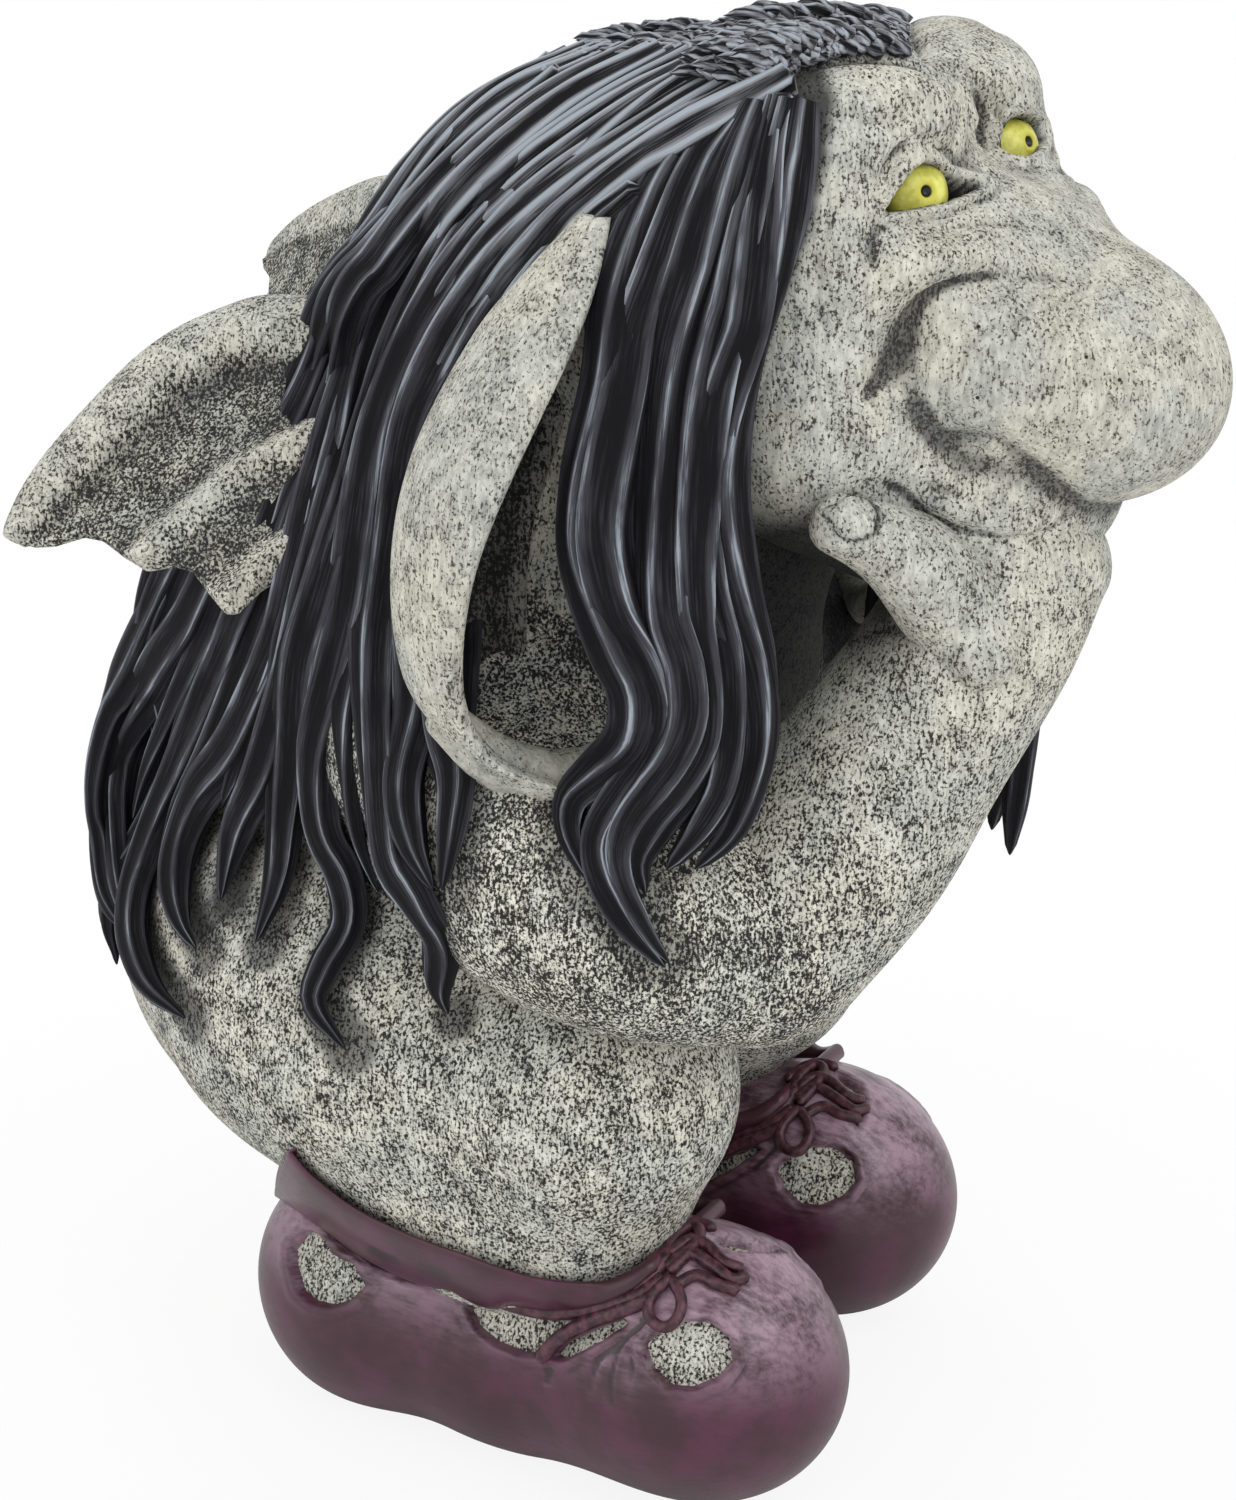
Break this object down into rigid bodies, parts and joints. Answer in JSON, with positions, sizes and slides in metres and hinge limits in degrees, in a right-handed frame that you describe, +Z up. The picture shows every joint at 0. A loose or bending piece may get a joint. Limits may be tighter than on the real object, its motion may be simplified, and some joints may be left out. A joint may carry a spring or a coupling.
{
  "type": "garden gnome statue",
  "caption": "Crouching folklore troll garden statue in cast stone resin, chin propped on a hand, with long dark hair, stub wings and laced shoes.",
  "frame": {"origin": "middle of the underside of the whole figure, on the ground", "axes": "+Z up; the figure faces -Y, so its right side is -X"},
  "size_m": [0.2092, 0.2948, 0.3434],
  "materials": {
    "stone": "matte",
    "hair": "matte",
    "shoe": "satin",
    "lace": "satin",
    "eye": "gloss",
    "steel": "satin"
  },
  "bodies": {
    "root": {"torso": "stone", "head": "stone", "right_eye": "eye", "left_eye": "eye", "right_ear": "stone", "left_ear": "stone", "right_wing": "stone", "left_wing": "stone", "right_upper_arm": "stone", "right_forearm": "stone", "left_upper_arm": "stone", "left_forearm": "stone", "right_front_hair": "hair", "left_front_hair": "hair", "mane": "hair", "right_leg": "stone", "left_leg": "stone", "right_foot": "stone", "left_foot": "stone", "right_shoe": "shoe", "left_shoe": "shoe", "right_lace": "lace", "left_lace": "lace", "neck_dowel": "steel", "right_ankle_dowel": "steel", "left_ankle_dowel": "steel"}
  },
  "joints": []
}
